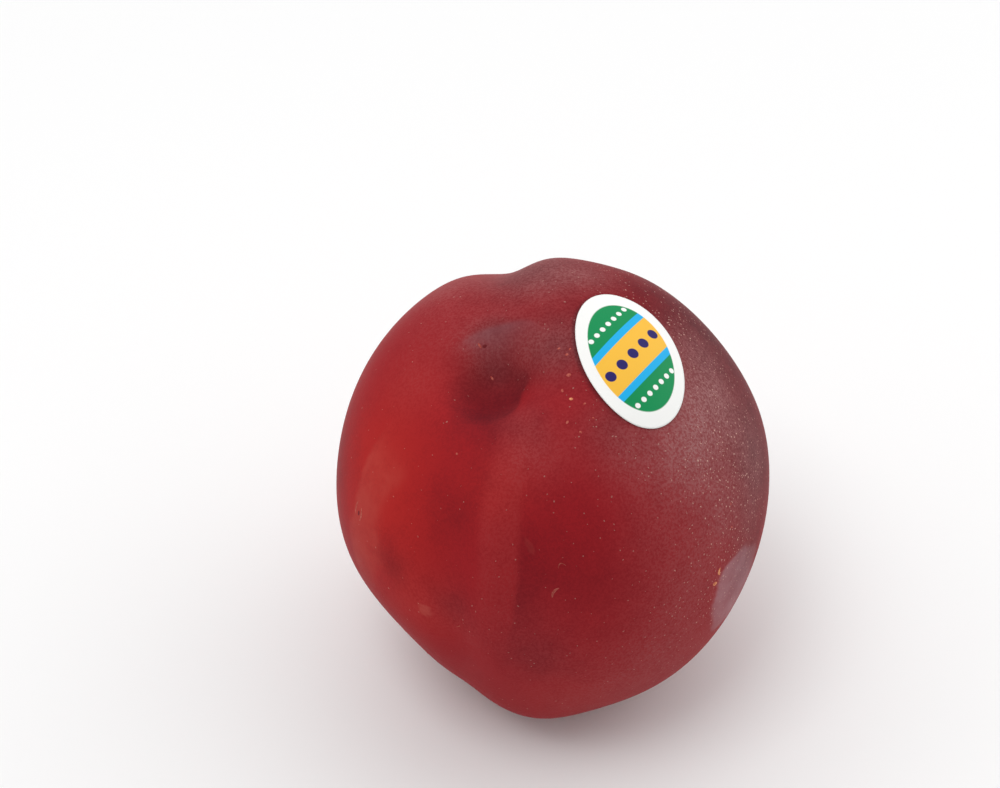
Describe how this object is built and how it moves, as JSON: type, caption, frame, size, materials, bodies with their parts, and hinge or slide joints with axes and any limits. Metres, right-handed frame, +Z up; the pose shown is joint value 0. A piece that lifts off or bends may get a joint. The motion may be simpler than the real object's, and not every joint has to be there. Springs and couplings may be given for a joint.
{
  "type": "nectarine",
  "caption": "Whole ripe nectarine with stem hollow, suture and a small oval label, leaning on a flat spot.",
  "frame": {"origin": "middle of the flat spot that the fruit rests on", "axes": "+Z up from the surface it lies on; the suture faces -Y and the stem end leans to -X and -Y, about 22 degrees from upright"},
  "size_m": [0.0706, 0.0728, 0.071],
  "materials": {
    "skin": "smooth waxy fruit skin, dark red, with a thin dull bloom and fine pale dots",
    "label_paper": "coated paper with a plain printed oval"
  },
  "bodies": {
    "root": {"fruit": "skin", "label": "label_paper"}
  },
  "joints": []
}
